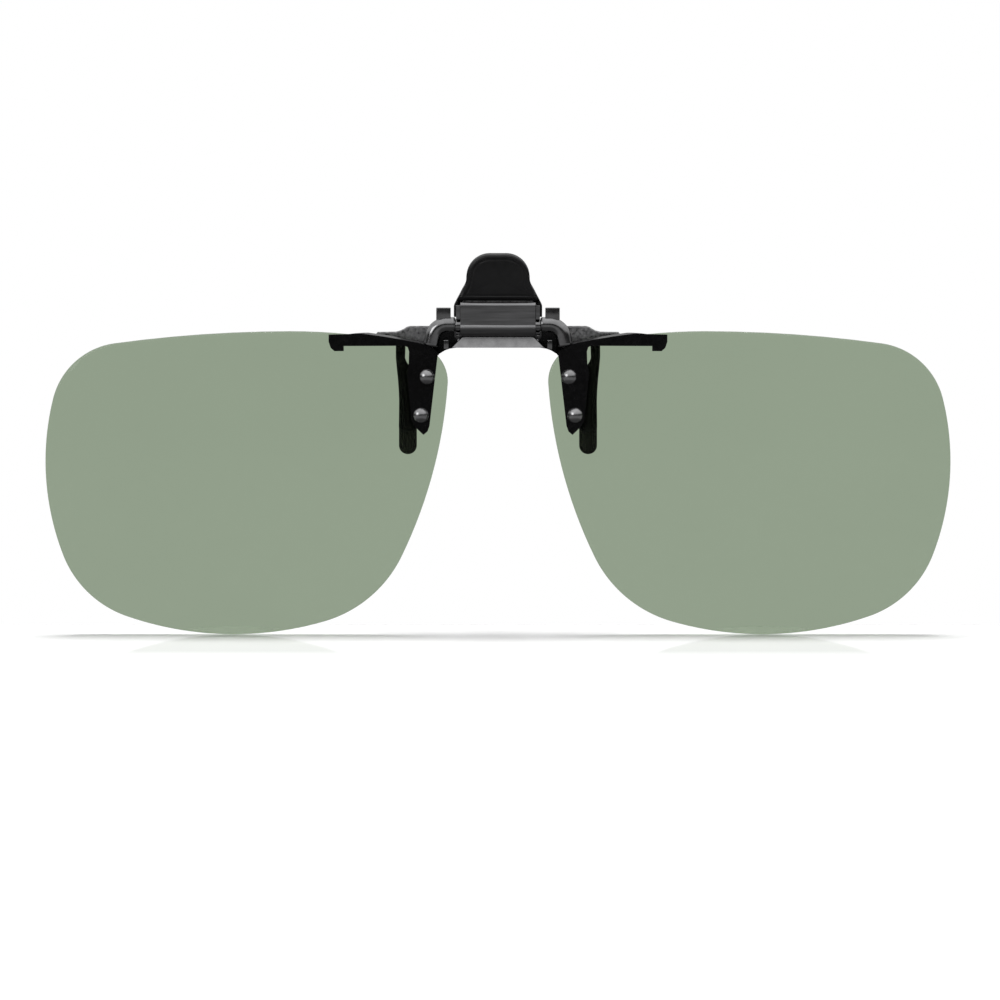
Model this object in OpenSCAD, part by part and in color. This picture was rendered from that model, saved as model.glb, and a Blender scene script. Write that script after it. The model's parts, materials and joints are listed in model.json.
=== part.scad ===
// Flip-up clip-on sunglasses: two rimless tinted lenses on a sprung bridge clamp.
// Frame: X runs along the bridge, +Y points to the wearer, +Z is up.
// The origin is the centre of the clamp's grip: Y = 0 is the face of the front pads.
// Right and left are the wearer's, so the right lens has negative X.
// Each sided part is drawn for the right side and mirrored for the left one.

/* [Lenses] */
// Width of one lens
lens_w = 60; // [57:1:62]
// Thickness of a lens
lens_t = 1; // [0.8:0.1:1.2]
// Radius of a lens's spherical front
lens_r = 180; // [160:5:200]
// Gap between the lenses at the nose
nose_gap = 15; // [14.5:0.5:16]
// Distance from the grip plane to the front of the lens's middle
lens_reach = 8.2; // [8:0.1:8.6]

/* [Brackets and rivets] */
// Thickness of the bracket's sheet
bracket_t = 0.6; // [0.4:0.1:0.8]
// Thickness of the flange that folds over the lens's top edge
flange_t = 0.32; // [0.25:0.01:0.4]
// Radius of a rivet's shank
rivet_r = 0.55; // [0.4:0.05:0.6]
// Radius of a rivet's domed head
rivet_head_r = 1.2; // [1:0.05:1.25]

/* [Flip hinge] */
// Radius of the flip bridge's shaft
shaft_r = 0.95; // [0.85:0.05:0.95]
// Radius of the flip bridge's arms
arm_r = 1.15; // [1:0.05:1.15]
// Width of the hinge housing
housing_w = 12.5; // [12.2:0.1:12.6]
// Thickness of the housing's sheet
sheet_t = 0.4; // [0.3:0.05:0.4]
// Clearance of each running fit, on the radius
running = 0.03; // [0.02:0.01:0.05]

/* [Clamp] */
// Thickness of the steel clamp plates
plate_t = 0.7; // [0.6:0.05:0.8]
// Angle by which each thumb tab leans outwards
tab_lean = 9; // [8:0.5:11]
// Radius of the clamp's pivot pin
pin_r = 0.5; // [0.4:0.05:0.55]
// Wall of the soft prong sleeves
sleeve_wall = 0.45; // [0.4:0.05:0.5]
// Radius of the clamp spring's wire
wire_r = 0.25; // [0.2:0.05:0.25]

/* [Hidden] */
$fn = 64;
eps = 0.01;
LEFT = [1, 0, 0];

// Flip axis
axis_y = -5;
axis_z = 14.4;

// Clamp: where its sheets and its pivot are
front_y = axis_y + 2.8;
rear_y = 2.2;
pivot_y = 0.5;
pivot_z = 15.2;
grip_gap = 0.12;

// ---------- helpers ----------

// Extrudes a Y-Z outline along X
module across(x0, x1) {
    translate([x0, 0, 0]) rotate([90, 0, 90]) linear_extrude(x1 - x0) children();
}

// Extrudes an X-Z outline along Y
module along(y0, y1) {
    translate([0, y1, 0]) rotate([90, 0, 0]) linear_extrude(y1 - y0) children();
}

module both_sides() {
    children();
    mirror([1, 0, 0]) children();
}

// A round bar along X
module bar(x0, x1, y, z, r) {
    translate([x0, y, z]) rotate([0, 90, 0]) cylinder(r = r, h = x1 - x0);
}

function reversed(list) = [for (i = [len(list) - 1:-1:0]) list[i]];
function mirrored(list) = [for (p = reversed(list)) [-p[0], p[1]]];
function arc_points(c, r, a0, a1, n = 12) =
    [for (i = [0:n]) let (a = a0 + (a1 - a0) * i / n) c + r * [cos(a), sin(a)]];

// A strip of even depth along a line of [y, z] points, for outlines that climb in Z
function strip(line, depth) = concat(
    [for (p = line) [p[0] - depth / 2, p[1]]],
    [for (p = reversed(line)) [p[0] + depth / 2, p[1]]]);

// ---------- lens outline: tangent arcs, clockwise from the top ----------

arc_sweep = [13, 81, 22, 48, 35, 50, 35, 68, 8];
arc_base = [85, 5.5, 69.5, 18.5, 49, 15.5, 0, 11, 0];
outline_start = [6.5, 22.6];
outline_w = 59.86;
outline_step = 2;
free_a = 6;
free_b = 8;

function heading(i) = i == 0 ? 0 : heading(i - 1) - arc_sweep[i - 1];
function unit_arc(i, sweep) = let (h = heading(i))
    [sin(h) - sin(h - sweep), cos(h - sweep) - cos(h)];
function chain(i) = i < 0 ? [0, 0] : chain(i - 1) + arc_base[i] * unit_arc(i, arc_sweep[i]);
function cross2(a, b) = a[0] * b[1] - a[1] * b[0];

// The radii of two arcs follow from the others, so that the outline closes
rest = chain(len(arc_sweep) - 1);
dir_a = unit_arc(free_a, arc_sweep[free_a]);
dir_b = unit_arc(free_b, arc_sweep[free_b]);
radius_a = -cross2(rest, dir_b) / cross2(dir_a, dir_b);
radius_b = -cross2(dir_a, rest) / cross2(dir_a, dir_b);

scale_k = lens_w / outline_w;
function arc_r(i) = scale_k * (i == free_a ? radius_a : i == free_b ? radius_b : arc_base[i]);
function arc_start(i, grow) = i == 0
    ? scale_k * outline_start + [0, grow]
    : arc_start(i - 1, grow) + (arc_r(i - 1) + grow) * unit_arc(i - 1, arc_sweep[i - 1]);

// Outline of a lens about its own middle, nose side at +x, grown outwards by grow
function lens_outline(grow) = [
    for (i = [0:len(arc_sweep) - 1])
        let (n = ceil(arc_sweep[i] / outline_step), p = arc_start(i, grow), r = arc_r(i) + grow)
            for (k = [0:n - 1]) p + r * unit_arc(i, arc_sweep[i] * k / n)];

// The lens hangs from its upper nose corner, whatever its size
nose_x = 29.88;
corner_z = 15.06;
corner_height = 6.06;
lens_x = -nose_gap / 2 - nose_x * scale_k;
lens_z = corner_height - corner_z * scale_k;
lens_centre = [lens_x, lens_r - lens_reach, lens_z];

module lens_ball(r) {
    translate(lens_centre) sphere(r = r, $fn = 360);
}

// A curved sheet between two radii about the lens's centre, cut to an X-Z outline
module lens_shell(r_in, r_out) {
    intersection() {
        difference() {
            lens_ball(r_out);
            lens_ball(r_in);
        }
        along(-lens_reach - 2, 0) children();
    }
}

module lens_shape(grow) {
    translate([lens_x, lens_z]) polygon(lens_outline(grow));
}

// Places a child square on the lens's front at X and Z, its own +Z pointing forwards
module on_lens(place) {
    x = place[0] - lens_x;
    z = place[1] - lens_z;
    turn = atan2(x, sqrt(pow(lens_r, 2) - pow(x, 2) - pow(z, 2)));
    rise = asin(z / lens_r);
    translate(lens_centre) rotate([0, 0, turn]) rotate([-rise, 0, 0])
        translate([0, -lens_r, 0]) rotate([90, 0, 0]) children();
}

// ---------- lenses, brackets and rivets ----------

rivet_places = [[-10.65, 6.75], [-11.55, 1.05]];
bracket_gap = 0.03;
washer_t = 0.25;
washer_seat = lens_t + 0.005;
washer_r = 1;
tail_t = 0.3;
dome_h = 0.7;
hole_r = rivet_r + running;

module rivet_holes() {
    for (place = rivet_places)
        on_lens(place) translate([0, 0, -3]) cylinder(r = hole_r, h = 6);
}

module lens() {
    color([0.52, 0.58, 0.49, 0.8]) difference() {
        lens_shell(lens_r - lens_t, lens_r) lens_shape(0);
        rivet_holes();
    }
}

// The bracket seen from the front: an arm along the lens's top, a hook and a leg
bracket_points = [
    [-25.2, 13.15], [-20.6, 13.25], [-17, 15], [-9, 15], [-9, 9.9], [-10.2, -0.45], [-10.5, -1.3],
    [-11.1, -1.8], [-12.3, -0.65], [-12.85, 0.3], [-13.6, 7.6], [-13.3, 8.8], [-13.25, 10.6],
    [-13.45, 11.25], [-13.9, 11.45], [-22.95, 11.45], [-22.95, 10.7], [-24.35, 10.7], [-24.9, 11.2], [-25.2, 12.1]];
flange_points = [
    [-22.5, 12.6], [-22.5, 13.2], [-20, 13.35], [-16.5, 13.4], [-15, 16], [-4, 16], [-9, 9.9], [-12, 9.9]];
flange_back = 0.25;
flange_gap = 0.04;
flange_grow = flange_gap + flange_t;
flange_rise = 6;
rise_y = -6.3;
rise_z = 12;

// The lens's outline as a block whose top climbs a little towards the rear, as the flange does
module rising_block(grow) {
    translate([0, rise_y, rise_z]) rotate([flange_rise, 0, 0]) translate([0, 0, -rise_z])
        along(-4, 8) lens_shape(grow);
}

module lens_bracket() {
    front = lens_r + bracket_gap + bracket_t;
    color([0.05, 0.05, 0.05]) difference() {
        intersection() {
            rising_block(flange_grow);
            union() {
                lens_shell(lens_r + bracket_gap, front) polygon(bracket_points);
                difference() {
                    lens_shell(lens_r - lens_t - flange_back, front) polygon(flange_points);
                    rising_block(flange_gap);
                }
            }
        }
        rivet_holes();
    }
}

module rivet() {
    seat = bracket_gap + bracket_t;
    ball_r = (pow(rivet_head_r, 2) + pow(dome_h, 2)) / (2 * dome_h);
    tail_z = -washer_seat - washer_t;
    intersection() {
        translate([0, 0, seat + dome_h - ball_r]) sphere(r = ball_r);
        translate([0, 0, seat]) cylinder(r = 2 * rivet_head_r, h = 2);
    }
    translate([0, 0, tail_z - tail_t]) cylinder(r = rivet_r, h = seat + tail_t - tail_z + 0.1);
    translate([0, 0, tail_z - tail_t]) cylinder(r1 = rivet_r, r2 = rivet_r + 0.25, h = tail_t);
}

module lens_rivets() {
    color("silver") for (place = rivet_places) on_lens(place) rivet();
}

module rivet_washers() {
    color("gray") for (place = rivet_places)
        on_lens(place) translate([0, 0, -washer_seat - washer_t]) difference() {
            cylinder(r = washer_r, h = washer_t);
            translate([0, 0, -1]) cylinder(r = hole_r, h = 3);
        }
}

// ---------- flip bridge: shaft, cranked arms, stop ears, wings and lower strip ----------

arm_bend = 2.2;
arm_bend_x = -7.6;
arm_start_x = -6.3;
arm_z = axis_z + 0.15;
arm_bend_angle = 78;
arm_tail = 2.4;
flat_half = 0.75;
flat_x = 3;
ear_points = [[-9.2, axis_z], [-9.2, axis_z + 2.7], [-7.05, axis_z + 2.7], [-7.05, axis_z]];
ear_t = 0.7;
wing_points = [
    [-9.7, 12.6], [-10, 10.2], [-9.2, 9.75], [-8.7, 10.2], [-7.9, 10.7], [-7.2, 10.95],
    [-5.6, 11.2], [-5.9, 12.1], [-6.5, 12.7], [-6.5, 14], [-8.5, 14]];
wing_t = 0.6;
strip_points = [[-5.55, 12.78], [-7.2, 11.15], [7.2, 11.15], [5.55, 12.78]];
strip_line = [[axis_y - 0.5, 11.1], [axis_y + 0.25, 12.9]];
strip_t = 0.55;
heel_x = [-8.1, -7.35];
heel_z = [10.8, 12.3];
heel_front = axis_y - 0.7;

// Each stretch of the arm is a hair thinner than the one before, and starts inside it
module arm() {
    inset = 0.1;
    lead = asin(inset / arm_bend);
    translate([arm_bend_x, axis_y, arm_z - arm_bend]) rotate([90, 0, 0]) rotate([0, 0, 90]) {
        rotate([0, 0, -lead]) rotate_extrude(angle = arm_bend_angle + lead)
            translate([arm_bend, 0]) circle(r = arm_r - eps);
        rotate([0, 0, arm_bend_angle]) translate([arm_bend, -inset, 0]) rotate([-90, 0, 0])
            cylinder(r = arm_r - 2 * eps, h = arm_tail + inset);
    }
    bar(arm_bend_x, arm_start_x, axis_y, arm_z, arm_r);
}

module bridge_side() {
    difference() {
        union() {
            arm();
            along(axis_y - ear_t / 2, axis_y + ear_t / 2) polygon(ear_points);
            along(axis_y - wing_t / 2, axis_y + wing_t / 2) polygon(wing_points);
            translate([heel_x[0], heel_front, heel_z[0]])
                cube([heel_x[1] - heel_x[0], front_y - 0.05 - heel_front, heel_z[1] - heel_z[0]]);
        }
        rising_block(flange_grow + eps);
    }
}

module shaft() {
    difference() {
        bar(arm_start_x - 0.15, 0.15 - arm_start_x, axis_y, axis_z, shaft_r);
        translate([0, axis_y, axis_z]) for (turn = [0:90:270]) rotate([turn, 0, 0])
            translate([-flat_x, -2, flat_half]) cube([2 * flat_x, 4, 2]);
    }
}

module flip_bridge() {
    color([0.45, 0.45, 0.46]) {
        shaft();
        both_sides() bridge_side();
        intersection() {
            across(-8, 8) polygon(strip(strip_line, strip_t));
            along(axis_y - 4, axis_y + 4) polygon(strip_points);
        }
    }
}

// ---------- clamp plates ----------

body_half = 5.9;
bend_z = 18.1;
tab_top = 24.2;
lug_x = [4.3, 5];
rear_lug_x = [3.5, 4.2];
lug_r = 1.3;
lug_z = [13.9, 16.5];
shoulder_bottom = 11.6;
plate_y = [front_y + plate_t / 2, rear_y + plate_t / 2];
pad_half = plate_t / 2 + sleeve_wall;
pad_y = [-pad_half, grip_gap + pad_half];
jog_z = [8.2, 11];
jog_steps = 8;
front_tip = -1.3;
rear_tip = -4.75;
side_wall = 0.32;
fit = 0.02;

function smooth(u) = let (v = min(max(u, 0), 1)) v * v * (3 - 2 * v);

// Middle of a prong at height z: below at the pad, above at the plate
function prong_y(z, k) = pad_y[k] + (plate_y[k] - pad_y[k]) * smooth((z - jog_z[0]) / (jog_z[1] - jog_z[0]));
function prong_line(low, high, k) = concat(
    [[prong_y(low, k), low]],
    [for (i = [0:jog_steps]) let (z = jog_z[0] + (jog_z[1] - jog_z[0]) * i / jog_steps) [prong_y(z, k), z]],
    [[prong_y(high, k), high]]);

// A tab's line: upright beside the hinge, then leaning outwards, -1 to the front and 1 to the rear
function tab_line(y, out, low, high) = [
    [y, low], [y, bend_z], [y + out * (high - bend_z) * tan(tab_lean), high]];

// A prong from the front: a narrow neck, then a wider finger. Each point has its way to grow.
prong_outline = [
    [-14.98, 12.8, -1, 0], [-14.98, 9.5, -1, 0], [-14.68, 6.3, -1, 0], [-14.5, 3, -1, 0],
    [-14.53, 0.5, -1, 0], [-14.55, -0.6, -1, 0]];
finger_right = -12.52;
prong_inner = [
    [finger_right, 6.2, 1, 0], [-12.9, 7.4, 0.9, 0.3], [-13.7, 8.2, 0.7, 0.5], [-14.27, 9.3, 1, 0],
    [-14.27, 12.8, 1, 0]];

function grown(list, g) = [for (p = list) [p[0] + g * p[2], p[1] + g * p[3]]];
function tip_points(tip, r, g) = let (left = -14.5 - g, right = finger_right + g, z = tip - g + r)
    concat(arc_points([left + r, z], r, 180, 270, 8), arc_points([right - r, z], r, 270, 360, 8));

module prong_face(tip, r, g) {
    polygon(concat(grown(prong_outline, g), tip_points(tip, r, g), grown(prong_inner, g)));
}

front_tip_r = 0.6;
rear_tip_r = 0.98;

// Plate outline: right half of the body and shoulder, then its mirror
shoulder_half = concat(
    [[0, shoulder_bottom], [-14.98, shoulder_bottom], [-15.4, 12.3], [-17.9, 12.6], [-18.3, 12.9]],
    [[-18.1, 13.2], [-15.3, 13.25], [-14.6, 13.45]],
    arc_points([-13, 12.35], 1.75, 130, 90, 6),
    [[-9.6, 14.1], [-9.1, 14.8], [-6.4, 14.8], [-body_half, 15.3], [-body_half, 17]]);
tongue_half = [[-5.5, 17.3], [-4, 20.7], [-4, 22], [-2.3, tab_top]];

module plate_face() {
    half = concat(shoulder_half, tongue_half);
    polygon(concat(half, mirrored(half)));
}

module lug(x, y_from, y_to) {
    across(x[0], x[1]) {
        translate([pivot_y, pivot_z]) circle(r = lug_r);
        translate([min(y_from, y_to), lug_z[0]]) square([abs(y_to - y_from), lug_z[1] - lug_z[0]]);
    }
}

module clamp_plate(k, out, tip, tip_r) {
    y = plate_y[k];
    intersection() {
        across(-7, 7) polygon(strip(tab_line(y, out, shoulder_bottom - 1, tab_top + 1), plate_t));
        along(-8, 8) plate_face();
    }
    both_sides() {
        intersection() {
            translate([-20, y - plate_t / 2, 0]) cube([13 + eps, plate_t, 30]);
            along(-8, 8) plate_face();
        }
        intersection() {
            across(-20, -10) polygon(strip(prong_line(-9, 12.3, k), plate_t));
            along(-8, 8) prong_face(tip, tip_r, 0);
        }
    }
}

rivet_x = 2.6;
rivet_z = 16.15;
housing_rivet_r = 0.5;

module clamp_front_plate() {
    color([0.62, 0.62, 0.64]) difference() {
        union() {
            clamp_plate(0, -1, front_tip, front_tip_r);
            both_sides() lug(-reversed(lug_x), plate_y[0], pivot_y);
        }
        bar(-8, 8, pivot_y, pivot_z, pin_r + running / 2);
        both_sides() housing_rivet_hole();
    }
}

module clamp_rear_plate() {
    color([0.62, 0.62, 0.64]) difference() {
        union() {
            clamp_plate(1, 1, rear_tip, rear_tip_r);
            both_sides() lug(-reversed(rear_lug_x), plate_y[1], pivot_y);
        }
        bar(-8, 8, pivot_y, pivot_z, pin_r + running);
    }
}

module housing_rivet_hole() {
    translate([rivet_x, -9, rivet_z]) rotate([-90, 0, 0]) cylinder(r = housing_rivet_r + fit, h = 9);
}

module prong_sleeve(k, tip, tip_r) {
    color([0.06, 0.06, 0.06]) difference() {
        intersection() {
            across(-20, -10) polygon(strip(prong_line(-9, 11.5, k), 2 * pad_half));
            along(-8, 8) prong_face(tip, tip_r + side_wall, side_wall);
        }
        intersection() {
            across(-20, -10) polygon(strip(prong_line(-9, 14, k), plate_t + 2 * fit));
            along(-8, 8) prong_face(tip, tip_r, fit);
        }
    }
}

// ---------- thumb covers ----------

cover_wall = 0.55;
cover_top = 25;
dome_r = 3.5;
dome_x = 1.24;
skirt_z = 15.6;
wall_z = 18.05;
cover_half = concat(
    [[-6.6, skirt_z], [-6.6, 17.3], [-4.86, 20.7]],
    arc_points([-dome_x, cover_top - dome_r], dome_r, 180, 90));

module thumb_cover(k, out) {
    y = plate_y[k];
    color([0.08, 0.08, 0.08]) difference() {
        intersection() {
            across(-7, 7) polygon(strip(tab_line(y, out, skirt_z, cover_top + 1), plate_t + 2 * cover_wall));
            along(-8, 8) polygon(concat(cover_half, mirrored(cover_half)));
        }
        // Pocket for the steel tongue
        intersection() {
            across(-7, 7) polygon(strip(tab_line(y, out, skirt_z - 1, cover_top + 1), plate_t + 2 * fit));
            along(-8, 8) resized_tongue();
        }
        // The skirt is open towards the pivot, and over the hinge housing
        translate([-body_half - 2 * fit, -3, skirt_z - 1])
            cube([2 * body_half + 4 * fit, rear_y + plate_t + fit + 3, wall_z - skirt_z + 1]);
        if (k == 0) translate([-8, front_y - 5, skirt_z - 1]) cube([16, 5, wall_z - skirt_z + 1]);
    }
}

// Outline of the tongue's pocket
module resized_tongue() {
    half = concat([[-body_half - fit, skirt_z - 1], [-body_half - fit, 17]],
        [for (p = tongue_half) [p[0] - fit, p[1] + fit]]);
    polygon(concat(half, mirrored(half)));
}

// ---------- pivot pin and clamp spring ----------

pin_half = 5.05;
pin_head_t = 0.3;
pin_head_r = 0.8;

module clamp_pivot_pin() {
    color("silver") {
        bar(-pin_half - pin_head_t, pin_half + pin_head_t, pivot_y, pivot_z, pin_r);
        both_sides() bar(pin_half, pin_half + pin_head_t, pivot_y, pivot_z, pin_head_r);
    }
}

coil_r = 1.15;
coil_turns = 4;
coil_half_x = 1.3;
coil_steps = 16;
leg_top = 17.9;
leg_lean = [front_y + plate_t + wire_r + fit, rear_y - wire_r - fit];
wire_sides = 8;

// The spring's middle line: a leg down the front plate, the coil, then a leg up the rear plate
coil_sweep = 180 + 360 * coil_turns;
coil_n = coil_steps * (coil_turns + 0.5);
spring_line = concat(
    [[-coil_half_x, leg_lean[0], leg_top], [-coil_half_x, (leg_lean[0] + pivot_y - coil_r) / 2, 16.4]],
    [for (i = [0:coil_n]) let (a = 180 + coil_sweep * i / coil_n)
        [-coil_half_x + 2 * coil_half_x * i / coil_n, pivot_y + coil_r * cos(a), pivot_z + coil_r * sin(a)]],
    [[coil_half_x, (leg_lean[1] + pivot_y + coil_r) / 2, 16.4], [coil_half_x, leg_lean[1], leg_top]]);

function unit(v) = v / norm(v);
function wire_ring(line, i) = let (
    last = len(line) - 1,
    t = unit(line[min(i + 1, last)] - line[max(i - 1, 0)]),
    u = unit(cross(t, [1, 0, 0])),
    v = cross(t, u))
    [for (k = [0:wire_sides - 1]) let (a = 360 * k / wire_sides) line[i] + wire_r * (u * cos(a) + v * sin(a))];

module wire(line) {
    n = len(line);
    side = wire_sides;
    points = [for (i = [0:n - 1]) each wire_ring(line, i)];
    faces = concat(
        [[for (k = [0:side - 1]) k]],
        [for (i = [0:n - 2]) for (k = [0:side - 1]) let (m = (k + 1) % side)
            [i * side + k, (i + 1) * side + k, (i + 1) * side + m, i * side + m]],
        [[for (k = [side - 1:-1:0]) (n - 1) * side + k]]);
    polyhedron(points = points, faces = faces);
}

module clamp_spring() {
    color("gainsboro") wire(spring_line);
}

// ---------- hinge housing ----------

housing_top = 17.4;
cheek_front = axis_y - 1;
cheek_t = 0.6;
barrel_r = 1.5;
cover_gap = 0.05;
cover_half_x = housing_w / 2 - cheek_t - cover_gap;
cover_face = axis_y - 1.25;
roll_out = 1.56;
roll_in = roll_out - sheet_t;
fold_r = 0.5;
fold_in = 0.3;
roof_front = cover_face + sheet_t + fold_in + cover_gap;

module cheek() {
    across(-housing_w / 2, -housing_w / 2 + cheek_t) difference() {
        union() {
            translate([cheek_front, axis_z]) square([front_y - cheek_front, housing_top - axis_z]);
            translate([axis_y, axis_z - barrel_r]) square([front_y - axis_y, barrel_r + eps]);
            intersection() {
                translate([axis_y, axis_z]) circle(r = barrel_r);
                translate([cheek_front, axis_z - 3]) square([4, 4]);
            }
        }
        translate([axis_y, axis_z]) circle(r = shaft_r + running);
        translate([axis_y - 3, axis_z - shaft_r - running]) square([3, 2 * (shaft_r + running)]);
    }
}

module hinge_housing() {
    half = housing_w / 2;
    color([0.3, 0.3, 0.31]) difference() {
        union() {
            both_sides() cheek();
            translate([-half, front_y - sheet_t, axis_z - barrel_r])
                cube([2 * half, sheet_t, housing_top - axis_z + barrel_r]);
            translate([-half, roof_front, housing_top - sheet_t])
                cube([2 * half, front_y - roof_front, sheet_t]);
        }
        both_sides() housing_rivet_hole();
    }
}

// The cover's section: top fold, upright face, ledge and the roll round the shaft
cover_top_z = housing_top + cover_gap + sheet_t;
ledge_z = axis_z - 0.18;
ledge_angle = 180 + asin((axis_z - ledge_z) / roll_out);
shaft_side = shaft_r + running + fit;
roll_end = 312;
cover_outer = concat(
    [[front_y - 1, cover_top_z]],
    arc_points([cover_face + fold_r, cover_top_z - fold_r], fold_r, 90, 180, 8),
    [[cover_face, ledge_z + 0.28]],
    arc_points([axis_y, axis_z], roll_out, ledge_angle, roll_end, 20));
cover_inner = concat(
    reversed(arc_points([axis_y, axis_z], roll_in, 205, roll_end, 20)),
    reversed(arc_points([axis_y, axis_z], shaft_side, 155, 190, 4)),
    [[cover_face + sheet_t, axis_z + 0.6], [cover_face + sheet_t, cover_top_z - sheet_t - fold_in]],
    [[cover_face + sheet_t + fold_in, cover_top_z - sheet_t], [front_y - 1, cover_top_z - sheet_t]]);

module housing_cover() {
    color([0.36, 0.36, 0.37]) across(-cover_half_x, cover_half_x)
        polygon(concat(cover_outer, cover_inner));
}

leaf_t = 0.2;
leaf_half = 1.6;
leaf_back = front_y - sheet_t - leaf_t / 2 - fit;
tab_half_x = 3.4;
tab_z = [rivet_z - 0.75, rivet_z + 0.7];
leaf_line = [
    [axis_y + 2, axis_z - 1.3], [axis_y + 1.3, axis_z - 0.7], [axis_y + 1.12, axis_z],
    [axis_y + 1.3, axis_z + 0.7], [leaf_back, tab_z[0] - 0.05], [leaf_back, tab_z[1]]];

module detent_spring() {
    color("silver") difference() {
        union() {
            across(-leaf_half, leaf_half) polygon(strip(leaf_line, leaf_t));
            translate([-tab_half_x, leaf_back - leaf_t / 2, tab_z[0]])
                cube([2 * tab_half_x, leaf_t, tab_z[1] - tab_z[0]]);
        }
        both_sides() housing_rivet_hole();
    }
}

module housing_rivets() {
    head_y = leaf_back - leaf_t / 2 - fit;
    tail_y = front_y + plate_t + fit;
    color("silver") both_sides() translate([rivet_x, 0, rivet_z]) rotate([-90, 0, 0]) {
        translate([0, 0, head_y - 0.3]) cylinder(r = 0.8, h = 0.3);
        translate([0, 0, head_y - 0.1]) cylinder(r = housing_rivet_r, h = tail_y - head_y + 0.2);
        translate([0, 0, tail_y]) cylinder(r = 0.75, h = 0.25);
    }
}

// ---------- nodes ----------

clamp_front_plate();
thumb_cover(0, -1);  // front_thumb_cover
prong_sleeve(0, front_tip, front_tip_r);  // front_prong_sleeve_right
mirror(LEFT) prong_sleeve(0, front_tip, front_tip_r);  // front_prong_sleeve_left
hinge_housing();
housing_cover();
detent_spring();
housing_rivets();
clamp_pivot_pin();
clamp_rear_plate();
thumb_cover(1, 1);  // rear_thumb_cover
prong_sleeve(1, rear_tip, rear_tip_r);  // rear_prong_sleeve_right
mirror(LEFT) prong_sleeve(1, rear_tip, rear_tip_r);  // rear_prong_sleeve_left
clamp_spring();
flip_bridge();
lens_bracket();  // lens_bracket_right
mirror(LEFT) lens_bracket();  // lens_bracket_left
lens();  // lens_right
mirror(LEFT) lens();  // lens_left
lens_rivets();  // lens_rivets_right
mirror(LEFT) lens_rivets();  // lens_rivets_left
rivet_washers();  // rivet_washers_right
mirror(LEFT) rivet_washers();  // rivet_washers_left
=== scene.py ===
"""Flip-up clip-on sunglasses: the looks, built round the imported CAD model.

Right and left are the wearer's, so the right side has negative X. Shapes are worked out in
millimetres in the part's frame, drawn for the right side and mirrored, and stored in metres.
"""
import json
import math

import bmesh
import bpy
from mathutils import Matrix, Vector


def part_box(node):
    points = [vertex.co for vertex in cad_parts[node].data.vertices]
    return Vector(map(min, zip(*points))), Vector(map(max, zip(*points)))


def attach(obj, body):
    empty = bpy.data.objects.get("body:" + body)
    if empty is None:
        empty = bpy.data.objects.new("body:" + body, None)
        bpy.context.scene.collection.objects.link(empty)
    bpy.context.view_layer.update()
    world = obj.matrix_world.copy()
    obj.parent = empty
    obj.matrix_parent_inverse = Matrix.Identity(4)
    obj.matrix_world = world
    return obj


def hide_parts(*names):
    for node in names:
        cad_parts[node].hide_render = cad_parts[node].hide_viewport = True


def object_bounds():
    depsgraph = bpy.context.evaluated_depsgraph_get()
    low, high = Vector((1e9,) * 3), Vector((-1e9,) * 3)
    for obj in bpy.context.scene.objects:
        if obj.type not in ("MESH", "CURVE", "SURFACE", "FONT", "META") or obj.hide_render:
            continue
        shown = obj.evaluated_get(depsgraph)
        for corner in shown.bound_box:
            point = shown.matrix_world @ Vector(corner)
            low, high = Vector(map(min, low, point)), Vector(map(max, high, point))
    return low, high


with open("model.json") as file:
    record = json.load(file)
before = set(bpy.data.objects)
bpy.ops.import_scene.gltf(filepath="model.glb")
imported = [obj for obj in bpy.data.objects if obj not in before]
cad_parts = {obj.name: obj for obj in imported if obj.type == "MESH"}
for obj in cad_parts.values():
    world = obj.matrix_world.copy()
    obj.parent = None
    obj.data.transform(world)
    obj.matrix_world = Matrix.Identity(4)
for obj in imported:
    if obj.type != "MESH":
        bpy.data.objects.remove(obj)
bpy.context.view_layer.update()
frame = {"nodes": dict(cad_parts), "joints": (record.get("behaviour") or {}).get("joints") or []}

MM = 0.001
SIDES = {"right": 1, "left": -1}


def node_box(name):
    """Lowest and highest corners of a CAD node, in millimetres."""
    low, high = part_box(name)
    return [v / MM for v in low], [v / MM for v in high]


def joint_place(name):
    """Y and Z of a joint's axis, in millimetres."""
    joint = next(j for j in frame["joints"] if j["name"] == name)
    return joint["pos_m"][1] / MM, joint["pos_m"][2] / MM


FLIP_Y, FLIP_Z = joint_place("flip")
PIVOT_Y, PIVOT_Z = joint_place("jaw_open")
LENS_LOW, LENS_HIGH = node_box("lens_right")
FRONT_SLEEVE_LOW = node_box("front_prong_sleeve_right")[0]
REAR_SLEEVE_LOW = node_box("rear_prong_sleeve_right")[0]


# ---------- camera, light and floor ----------

VIEW_W = 150.0
FOCAL = 250.0
SENSOR = 36.0
# Near and far ends of what the camera sees, in metres
CLIP = (0.05, 20)
TARGET = (0.3, 0.0, -11.93)
ELEVATION = 3.5
# Strength, angular size and rearward tilt of the light from above, the angles in degrees
OVERHEAD = (2.95, 20, 10)
OVERHEAD_Z = 400
# Place, side and power of the soft light at the front left
SIDE_PLACE = (-380, -420, 260)
SIDE_SIZE = 260
SIDE_POWER = 0.8


def make_camera():
    data = bpy.data.cameras.new("camera")
    data.lens = FOCAL
    data.sensor_width = SENSOR
    data.clip_start, data.clip_end = CLIP
    camera = bpy.data.objects.new("camera", data)
    bpy.context.scene.collection.objects.link(camera)
    distance = FOCAL / SENSOR * VIEW_W
    rise = math.radians(ELEVATION)
    target = Vector(TARGET) * MM
    offset = Vector((0, -math.cos(rise), math.sin(rise))) * distance * MM
    camera.location = target + offset
    camera.rotation_euler = (math.pi / 2 - rise, 0, 0)
    bpy.context.scene.camera = camera


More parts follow.
